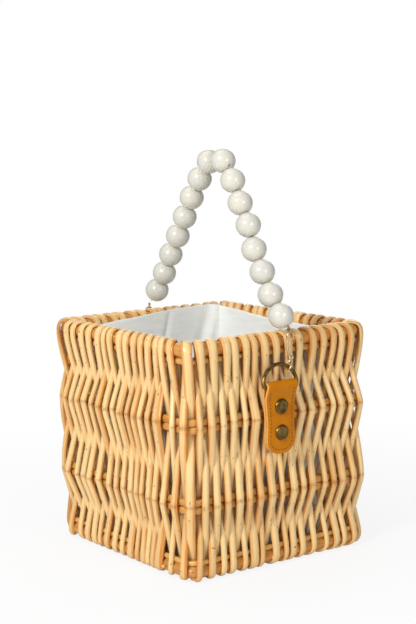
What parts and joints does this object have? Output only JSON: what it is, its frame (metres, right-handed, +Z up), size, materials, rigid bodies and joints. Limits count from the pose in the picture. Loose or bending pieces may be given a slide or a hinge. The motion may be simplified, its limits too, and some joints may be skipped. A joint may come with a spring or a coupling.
{
  "type": "willow bucket bag",
  "caption": "Square bucket bag of laced peeled willow with a cloth lining and a swinging handle of strung pearl beads held by clasps on riveted leather straps.",
  "frame": {"origin": "middle of the basket's underside", "axes": "+Z up to the handle, +X out through the wall with the near strap, +Y towards the back wall"},
  "size_m": [0.2096, 0.1812, 0.3155],
  "materials": {
    "willow_hoop": "peeled willow rods, warm honey",
    "willow_stake": "peeled willow, pale straw with orange shading",
    "willow_mat": "flat willow skeins",
    "cotton": "plain white cotton",
    "leather": "mustard tan leather with pale cut edges",
    "antique_brass": "antique brass, dark with bright rims",
    "gold_clasp": "light gold plate",
    "pearl": "pearl lacquer on plastic",
    "wire": "brown coated wire"
  },
  "bodies": {
    "basket": {"rim_hoop": "willow_hoop", "upper_tie_rod": "willow_hoop", "lower_tie_rod": "willow_hoop", "base_hoop": "willow_hoop", "lower_band_rod_low": "willow_hoop", "lower_band_rod_high": "willow_hoop", "upper_band_rod_low": "willow_hoop", "upper_band_rod_high": "willow_hoop", "lacing_right": "willow_stake", "lacing_back": "willow_stake", "lacing_left": "willow_stake", "lacing_front": "willow_stake", "woven_bottom": "willow_mat", "lining": "cotton", "lining_corner_ties": "cotton", "strap_right": "leather", "rivet_low_right": "antique_brass", "rivet_high_right": "antique_brass", "burr_low_right": "antique_brass", "burr_high_right": "antique_brass", "strap_left": "leather", "rivet_low_left": "antique_brass", "rivet_high_left": "antique_brass", "burr_low_left": "antique_brass", "burr_high_left": "antique_brass"},
    "handle": {"bead_01": "pearl", "bead_02": "pearl", "bead_03": "pearl", "bead_04": "pearl", "bead_05": "pearl", "bead_06": "pearl", "bead_07": "pearl", "bead_08": "pearl", "bead_09": "pearl", "bead_10": "pearl", "bead_11": "pearl", "bead_12": "pearl", "bead_13": "pearl", "bead_14": "pearl", "bead_15": "pearl", "bead_16": "pearl", "bead_wire": "wire"},
    "ring_right": {"ring_right": "antique_brass"},
    "jump_ring_right": {"jump_ring_right": "gold_clasp"},
    "clasp_right": {"clasp_right": "gold_clasp", "clasp_pin_right": "gold_clasp"},
    "clasp_gate_right": {"clasp_gate_right": "gold_clasp"},
    "ring_left": {"ring_left": "antique_brass"},
    "jump_ring_left": {"jump_ring_left": "gold_clasp"},
    "clasp_left": {"clasp_left": "gold_clasp", "clasp_pin_left": "gold_clasp"},
    "clasp_gate_left": {"clasp_gate_left": "gold_clasp"}
  },
  "joints": [
    {"name": "handle_swing", "type": "hinge", "parent": "basket", "child": "handle", "pos_m": [0.09022, 0.003, 0.1911], "axis": [-0.9991, 0.0344, 0.026], "range_deg": [-85, 85]},
    {"name": "ring_swing_right", "type": "hinge", "parent": "basket", "child": "ring_right", "pos_m": [0.10075, -0.0067, 0.1406], "axis": [0, 1, 0], "range_deg": [-2, 110]},
    {"name": "jump_ring_swing_right", "type": "hinge", "parent": "ring_right", "child": "jump_ring_right", "pos_m": [0.0987, 0.003, 0.15354], "axis": [0.0931, 0.8037, -0.5878], "range_deg": [-2, 40]},
    {"name": "clasp_swing_right", "type": "hinge", "parent": "jump_ring_right", "child": "clasp_right", "pos_m": [0.09821, 0.00534, 0.15667], "axis": [1, 0, 0], "range_deg": [-25, 25]},
    {"name": "gate_right", "type": "hinge", "parent": "clasp_right", "child": "clasp_gate_right", "pos_m": [0.09819, 0.00655, 0.1606], "axis": [1, 0, 0], "range_deg": [0, 11], "stiffness_Nm_per_rad": 0.002},
    {"name": "ring_swing_left", "type": "hinge", "parent": "basket", "child": "ring_left", "pos_m": [-0.10075, -0.002, 0.1406], "axis": [0, -1, 0], "range_deg": [-2, 110]},
    {"name": "jump_ring_swing_left", "type": "hinge", "parent": "ring_left", "child": "jump_ring_left", "pos_m": [-0.0987, 0.0077, 0.15354], "axis": [0.0931, -0.8037, 0.5878], "range_deg": [-2, 40]},
    {"name": "clasp_swing_left", "type": "hinge", "parent": "jump_ring_left", "child": "clasp_left", "pos_m": [-0.09821, 0.01005, 0.15667], "axis": [-1, 0, 0], "range_deg": [-25, 25]},
    {"name": "gate_left", "type": "hinge", "parent": "clasp_left", "child": "clasp_gate_left", "pos_m": [-0.09819, 0.00905, 0.1606], "axis": [-1, 0, 0], "range_deg": [0, 11], "stiffness_Nm_per_rad": 0.002}
  ]
}
